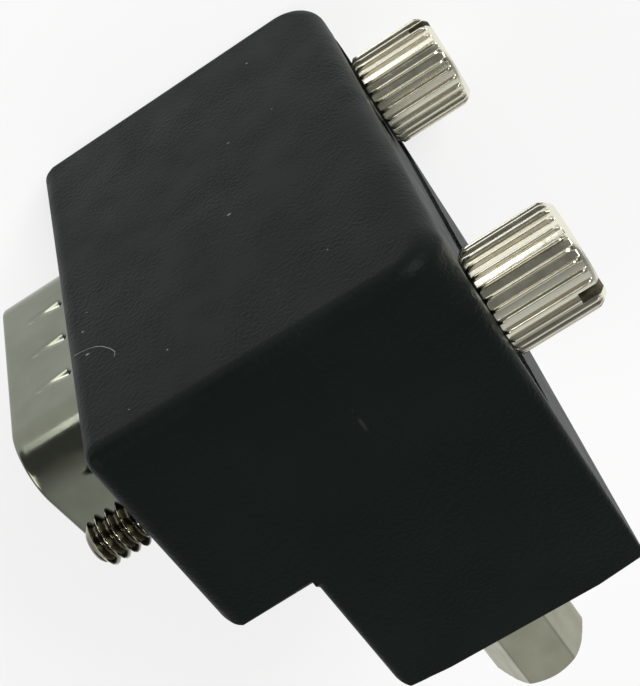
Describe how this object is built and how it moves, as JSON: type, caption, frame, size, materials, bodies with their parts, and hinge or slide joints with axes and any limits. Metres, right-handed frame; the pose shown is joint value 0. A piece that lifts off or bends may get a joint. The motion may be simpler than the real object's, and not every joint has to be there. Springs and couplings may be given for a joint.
{
  "type": "right-angle d-sub adapter",
  "caption": "Right-angle adapter block that joins a D-shaped pin plug with knurled captive thumbscrews to a D-shaped socket with hexagonal jack nuts on the next face.",
  "frame": {"origin": "middle of the screw pattern, in the plug face of the housing", "axes": "+X back along the plug's axis, the plug pointing to -X; +Y to the flat top face, the socket pointing to -Y; +Z from the far screw to the near screw, up when the adapter lies on its side"},
  "size_m": [0.0306, 0.0296, 0.0332],
  "materials": {
    "moulded_plastic": "fine matt grain, moulded",
    "plated_shell": "tin-nickel plated sheet steel",
    "thumbscrew": "nickel plated, turned and knurled",
    "jack_nut": "nickel plated hexagon bar",
    "insulator": "moulded, half gloss",
    "gold_contact": "gold flashed brass",
    "link_wire": "plain copper wire",
    "spring_steel": "oiled spring steel"
  },
  "bodies": {
    "adapter_body": {"housing": "moulded_plastic", "plug_shell": "plated_shell", "plug_rear_shell": "plated_shell", "plug_insulator": "insulator", "plug_pin_1": "gold_contact", "plug_pin_2": "gold_contact", "plug_pin_3": "gold_contact", "plug_pin_4": "gold_contact", "plug_pin_5": "gold_contact", "plug_pin_6": "gold_contact", "plug_pin_7": "gold_contact", "plug_pin_8": "gold_contact", "plug_pin_9": "gold_contact", "socket_shell": "plated_shell", "socket_rear_shell": "plated_shell", "socket_insulator": "insulator", "socket_contact_1": "gold_contact", "socket_contact_2": "gold_contact", "socket_contact_3": "gold_contact", "socket_contact_4": "gold_contact", "socket_contact_5": "gold_contact", "socket_contact_6": "gold_contact", "socket_contact_7": "gold_contact", "socket_contact_8": "gold_contact", "socket_contact_9": "gold_contact", "link_wire_1": "link_wire", "link_wire_2": "link_wire", "link_wire_3": "link_wire", "link_wire_4": "link_wire", "link_wire_5": "link_wire", "link_wire_6": "link_wire", "link_wire_7": "link_wire", "link_wire_8": "link_wire", "link_wire_9": "link_wire", "near_jack_nut": "jack_nut", "far_jack_nut": "jack_nut", "near_clinch_nut": "jack_nut", "far_clinch_nut": "jack_nut"},
    "near_clip": {"near_retaining_clip": "spring_steel"},
    "near_screw": {"near_thumbscrew": "thumbscrew"},
    "far_clip": {"far_retaining_clip": "spring_steel"},
    "far_screw": {"far_thumbscrew": "thumbscrew"}
  },
  "joints": [
    {"name": "near_screw_slide", "type": "slide", "parent": "adapter_body", "child": "near_clip", "axis": [1, 0, 0], "range_m": [0, 0.003]},
    {"name": "near_screw_turn", "type": "hinge", "parent": "near_clip", "child": "near_screw", "pos_m": [0, 0, 0.01249], "axis": [1, 0, 0], "continuous": true},
    {"name": "far_screw_slide", "type": "slide", "parent": "adapter_body", "child": "far_clip", "axis": [1, 0, 0], "range_m": [0, 0.003]},
    {"name": "far_screw_turn", "type": "hinge", "parent": "far_clip", "child": "far_screw", "pos_m": [0, 0, -0.01249], "axis": [1, 0, 0], "continuous": true}
  ]
}
